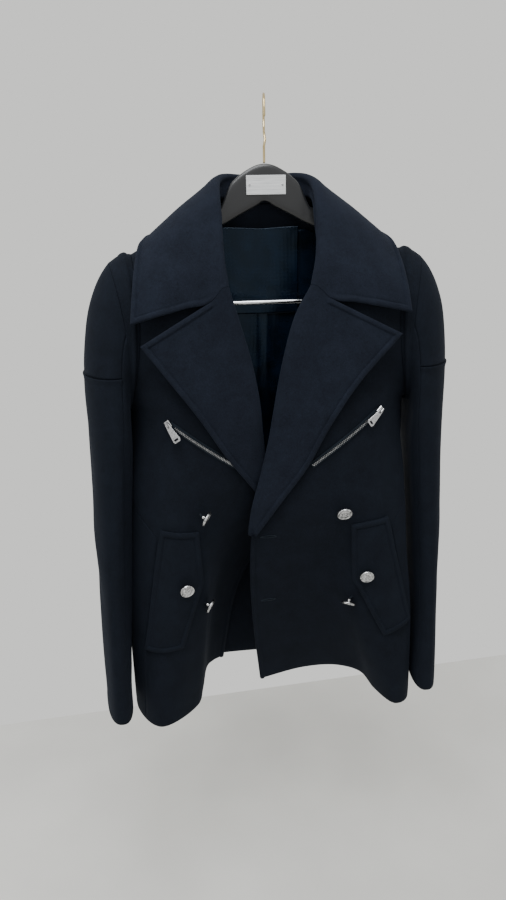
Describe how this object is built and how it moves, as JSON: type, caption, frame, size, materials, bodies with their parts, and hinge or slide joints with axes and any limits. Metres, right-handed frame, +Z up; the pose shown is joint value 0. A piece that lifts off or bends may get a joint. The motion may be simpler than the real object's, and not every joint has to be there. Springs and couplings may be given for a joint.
{
  "type": "blazer on hanger",
  "caption": "Short double-breasted wool jacket with collar, notched lapels, slanted chest zips, pocket flaps and metal buttons, hanging on its plastic hanger.",
  "frame": {"origin": "the point under the top of the hook's bend where a rail carries it", "axes": "+Z up, against the pull of the weight; +X to the right of someone who looks at the jacket's front; -Y out of its front"},
  "size_m": [0.5366, 0.2148, 0.8966],
  "materials": {
    "melton_wool": "matt, brushed nap",
    "lining_satin": "satin",
    "zip_tape": "matt",
    "button_thread": "matt",
    "bright_metal": "polished",
    "hook_metal": "polished, pale",
    "hanger_plastic": "fine satin"
  },
  "bodies": {
    "jacket": {"back": "melton_wool", "button_flap_left": "bright_metal", "button_flap_right": "bright_metal", "button_lower_left": "bright_metal", "button_lower_right": "bright_metal", "button_upper_left": "bright_metal", "button_upper_right": "bright_metal", "collar": "melton_wool", "flap_left": "melton_wool", "flap_right": "melton_wool", "front_left": "melton_wool", "front_right": "melton_wool", "hanger_body": "hanger_plastic", "hanger_pin_left": "bright_metal", "hanger_pin_right": "bright_metal", "hanger_plate": "bright_metal", "hook": "hook_metal", "lapel_left": "melton_wool", "lapel_right": "melton_wool", "lining_back": "lining_satin", "lining_yoke": "lining_satin", "side_left": "melton_wool", "side_right": "melton_wool", "sleeve_lower_left": "melton_wool", "sleeve_lower_right": "melton_wool", "sleeve_under_left": "melton_wool", "sleeve_under_right": "melton_wool", "sleeve_upper_left": "melton_wool", "sleeve_upper_right": "melton_wool", "thread_flap_left": "button_thread", "thread_flap_right": "button_thread", "thread_lower_left": "button_thread", "thread_lower_right": "button_thread", "thread_upper_left": "button_thread", "thread_upper_right": "button_thread", "trouser_bar": "hanger_plastic", "zip_slider_left": "bright_metal", "zip_slider_right": "bright_metal", "zip_tape_left": "zip_tape", "zip_tape_right": "zip_tape", "zip_teeth_left": "bright_metal", "zip_teeth_right": "bright_metal"},
    "pull_left": {"zip_pull_left": "bright_metal"},
    "pull_right": {"zip_pull_right": "bright_metal"}
  },
  "joints": [
    {"name": "pull_left_swing", "type": "hinge", "parent": "jacket", "child": "pull_left", "pos_m": [0.14922, -0.09584, -0.414], "axis": [-0.5751, -0.1485, 0.8045], "range_deg": [0, 120]},
    {"name": "pull_right_swing", "type": "hinge", "parent": "jacket", "child": "pull_right", "pos_m": [-0.15034, -0.09547, -0.42019], "axis": [-0.7579, 0.2908, -0.584], "range_deg": [0, 120]}
  ]
}
